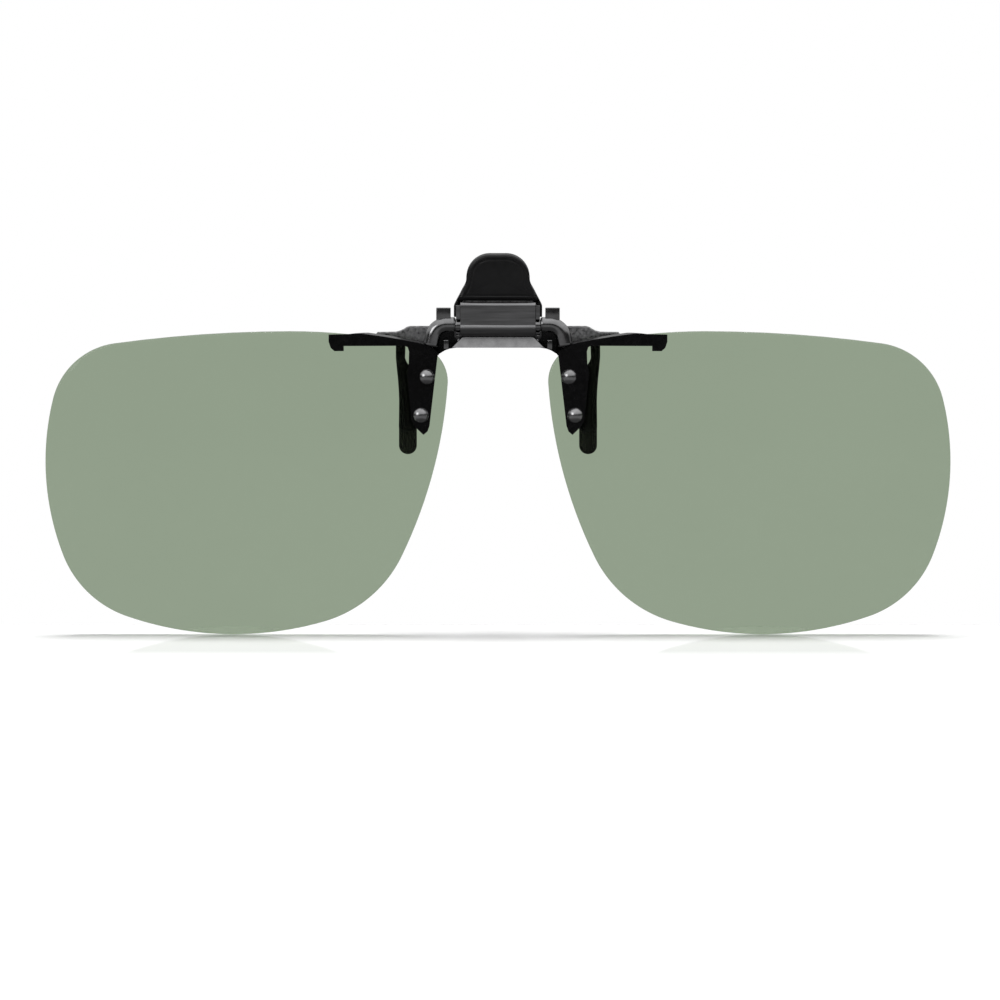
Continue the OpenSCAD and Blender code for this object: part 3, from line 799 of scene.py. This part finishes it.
def make_thumb_cover(which, plate_y, out, body):
    """A moulded cover: rounded edge, a shallow groove inside the rim and a hollowed thumb face.

    out is the way that the thumb face looks: -1 to the front, 1 to the rear.
    """
    outline = cover_outline()
    outer = out * COVER_T / 2

    def ring(inset, shrink, depth):
        """A ring at a depth below the thumb face."""
        points = []
        for x, z in inset_outline(outline, COVER_MIDDLE, inset, shrink):
            lean = max(z - BEND_Z, 0) * math.tan(math.radians(TAB_LEAN))
            points.append((x, plate_y + out * lean + outer - out * depth, z))
        return points

    edge = [(COVER_EDGE, 0.0), *rounded_edge(COVER_EDGE, COVER_EDGE_STEPS)]
    rings = [ring(COVER_EDGE, shrink, hollow) for shrink, hollow in THUMB_HOLLOW]
    rings += [ring(inset, 1, depth) for inset, depth in (*RIM_GROOVE, *edge)]
    rings += [ring(inset, 1, COVER_T - depth) for inset, depth in reversed(edge)]
    rings += [ring(COVER_EDGE, shrink, COVER_T) for shrink in INNER_SHRINKS]
    bm = loft(rings)
    skirt_front = plate_y - (PLATE_T if out < 0 else COVER_T) / 2
    merge_both_sides(bm, prism(SKIRT, skirt_front, plate_y + COVER_T / 2, SKIRT_BEVEL))
    if out > 0:
        merge(bm, rear_wall(plate_y))
    node = f"{which}_thumb_cover"
    new_piece(f"{node}_moulding", bm, "thumb_plastic", body, node)


def rear_wall(plate_y):
    """The rear cover's outer wall goes on down behind the plate."""
    outline = [*REAR_WALL, *((-x, z) for x, z in reversed(REAR_WALL))]
    return prism(outline, plate_y + PLATE_T / 2 + REAR_WALL_GAP, plate_y + COVER_T / 2, SKIRT_BEVEL)


# ---------- prong sleeves ----------

PRONG_LEFT = ((11.5, -15.3), (9.5, -15.3), (8.0, -15.18), (6.3, -15.0), (4.6, -14.88), (3.0, -14.82),
              (0.5, -14.85), (-0.8, -14.87))
PRONG_RIGHT = ((11.5, -13.95), (9.3, -13.95), (8.8, -13.75), (8.3, -13.4), (7.7, -12.75), (7.1, -12.4),
               (6.2, -12.2), (3.0, -12.2))
JOG_Z = (8.2, 11.0)
PAD_HALF = 0.8
SLEEVE_TOP = 11.5
SLEEVE_ROW = 0.16
SLEEVE_SIDES = 96
TIP_STEPS = 8
# How much the tip narrows from front to back
TIP_PULL = 0.5
# How much the first two rings are drawn in, which rounds the sleeve's mouth
MOUTH = (0.18, 0.06)
# Exponent of the sleeve's rounded box section
BOX_POWER = 0.5
RIB_TOP = 6.0
RIB_FADE = 1.2
RIB_TIP_FADE = 1.6
RIB_SIDE_FADE = 1.5
RIB_PITCH = 0.36
RIB_DEPTH = 0.1


def between(table, z):
    """Straight-line value from a falling table of (z, value)."""
    if z >= table[0][0]:
        return table[0][1]
    for (z0, v0), (z1, v1) in zip(table, table[1:]):
        if z >= z1:
            return v0 + (v1 - v0) * (z0 - z) / (z0 - z1)
    return table[-1][1]


def sleeve_rows(tip, tip_r):
    """Z of each ring from the mouth to the tip, and how far the rounding has got there, from 0 to 1."""
    rows = []
    z = SLEEVE_TOP
    while z > tip + tip_r:
        rows.append((z, 0.0))
        z -= SLEEVE_ROW
    for k in range(TIP_STEPS + 1):
        a = math.pi / 2 * k / TIP_STEPS
        rows.append((tip + tip_r * (1 - math.sin(a)), 1 - math.cos(a)))
    return rows


def sleeve_ring(z, middle, half, ribbed):
    """A ring of rounded box section with ribs on its broad faces; middle and half are X and Y."""
    ring = []
    for k in range(SLEEVE_SIDES):
        a = math.tau * k / SLEEVE_SIDES
        c, s = math.cos(a), math.sin(a)
        x = half[0] * math.copysign(abs(c) ** BOX_POWER, c)
        y = half[1] * math.copysign(abs(s) ** BOX_POWER, s)
        wave = 0.5 - 0.5 * math.cos(math.tau * x / RIB_PITCH)
        groove = RIB_DEPTH * ribbed * wave * min(abs(s) * RIB_SIDE_FADE, 1)
        ring.append((middle[0] + x, middle[1] + y - math.copysign(groove, s), z))
    return ring


def make_sleeve(which, side, tip, pad_y, plate_y, tip_r, body):
    """A soft sleeve lofted down a prong, with fine ribs along the pad and a rounded tip."""
    rings = []
    for index, (z, pull) in enumerate(sleeve_rows(tip, tip_r)):
        left, right = between(PRONG_LEFT, z), between(PRONG_RIGHT, z)
        u = min(max((z - JOG_Z[0]) / (JOG_Z[1] - JOG_Z[0]), 0), 1)
        middle = ((left + right) / 2, pad_y + (plate_y - pad_y) * u * u * (3 - 2 * u))
        mouth = MOUTH[index] if index < len(MOUTH) else 0
        half = ((right - left) / 2 - pull * tip_r - mouth, PAD_HALF - pull * TIP_PULL - mouth)
        ribbed = min(max((RIB_TOP - z) / RIB_FADE, 0), 1) * (1 - min(pull * RIB_TIP_FADE, 1))
        rings.append(sleeve_ring(z, middle, half, ribbed))
    bm = loft(rings)
    if SIDES[side] < 0:
        mirror_x(bm)
    node = f"{which}_prong_sleeve_{side}"
    # The rear sleeves take the lighter, brownish black.
    look = "sleeve_rubber_light_brown" if which == "rear" else None
    new_piece(f"{node}_soft", bm, "sleeve_rubber", body, node, look=look)


# ---------- clamp spring ----------

COIL_R = 1.15
COIL_TURNS = 4
COIL_HALF_X = 1.3
WIRE_R = 0.25
STEPS_A_TURN = 30
LEG_TOP = 17.9
# How much of the way each point of a leg lies: down to the coil in front, up from it behind
FRONT_LEG = (0, 0.3, 0.6, 0.85)
REAR_LEG = (0, 0.15, 0.4, 0.7, 1)
# Steps of the coil that the rear leg shares, and its thickness there as a share of the coil's
LEG_OVERLAP = 3
LEG_SHARE = 0.97
SPRING_SIDES = 14


def make_spring():
    """The coil and its front leg stay with the front plate; the rear leg goes with the rear plate.

    The rear leg also runs through the coil's last LEG_OVERLAP steps, so that the two still meet when the
    jaw opens.
    """
    steps = STEPS_A_TURN * COIL_TURNS + STEPS_A_TURN // 2
    coil = []
    for i in range(steps + 1):
        a = math.radians(180 + (180 + 360 * COIL_TURNS) * i / steps)
        x = -COIL_HALF_X + 2 * COIL_HALF_X * i / steps
        coil.append((x, PIVOT_Y + COIL_R * math.cos(a), PIVOT_Z + COIL_R * math.sin(a)))
    low, high = node_box("clamp_spring")
    front_y, rear_y = low[1] + WIRE_R, high[1] - WIRE_R
    start_y, end_y = PIVOT_Y - COIL_R, PIVOT_Y + COIL_R
    rise = LEG_TOP - PIVOT_Z
    front = [(-COIL_HALF_X, front_y + (start_y - front_y) * u, LEG_TOP - rise * u) for u in FRONT_LEG]
    rear = [(COIL_HALF_X, end_y + (rear_y - end_y) * u, PIVOT_Z + rise * u) for u in REAR_LEG]
    wound = tube(front + coil, WIRE_R, sides=SPRING_SIDES)
    new_piece("clamp_spring_coil", wound, "spring_steel", "clamp_front", "clamp_spring")
    leg = tube(coil[-1 - LEG_OVERLAP:-1] + rear, WIRE_R * LEG_SHARE, sides=SPRING_SIDES)
    new_piece("clamp_spring_leg", leg, "spring_steel", "clamp_rear")


# ---------- build ----------

make_camera()
make_studio()
make_floor()

SHAFT_TO_PLATE = 2.8
REAR_PLATE_FRONT = 2.2
# Y of the middle of each plate's and each pad's thickness
FRONT_PLATE_Y = FLIP_Y + SHAFT_TO_PLATE + PLATE_T / 2
REAR_PLATE_Y = REAR_PLATE_FRONT + PLATE_T / 2
FRONT_PAD_Y = -PAD_HALF
REAR_PAD_Y = REAR_SLEEVE_LOW[1] + PAD_HALF
FRONT_TIP_R = 0.7
REAR_TIP_R = 1.3
# CAD nodes that are kept, with their finish and the width of their bevel
KEPT = (
    ("lens_bracket_right", "bracket_black", 0.13),
    ("lens_bracket_left", "bracket_black", 0.13),
    ("lens_rivets_right", "rivet_metal", 0.04),
    ("lens_rivets_left", "rivet_metal", 0.04),
    ("rivet_washers_right", "washer_metal", 0.03),
    ("rivet_washers_left", "washer_metal", 0.03),
    ("clamp_front_plate", "clamp_steel", 0.08),
    ("clamp_rear_plate", "clamp_steel", 0.08),
    ("hinge_housing", "housing_metal", 0.06),
    ("housing_cover", "housing_metal", 0.05),
    ("detent_spring", "spring_steel", 0.03),
    ("housing_rivets", "rivet_metal", 0.05),
    ("clamp_pivot_pin", "rivet_metal", 0.05),
)

for side in SIDES:
    make_lens(side)
    make_sleeve("front", side, FRONT_SLEEVE_LOW[2], FRONT_PAD_Y, FRONT_PLATE_Y, FRONT_TIP_R, "clamp_front")
    make_sleeve("rear", side, REAR_SLEEVE_LOW[2], REAR_PAD_Y, REAR_PLATE_Y, REAR_TIP_R, "clamp_rear")

make_flip_bridge()
make_thumb_cover("front", FRONT_PLATE_Y, -1, "clamp_front")
make_thumb_cover("rear", REAR_PLATE_Y, 1, "clamp_rear")
make_spring()
for node_name, finish_name, bevel_width in KEPT:
    refine_cad(node_name, finish_name, bevel_width)
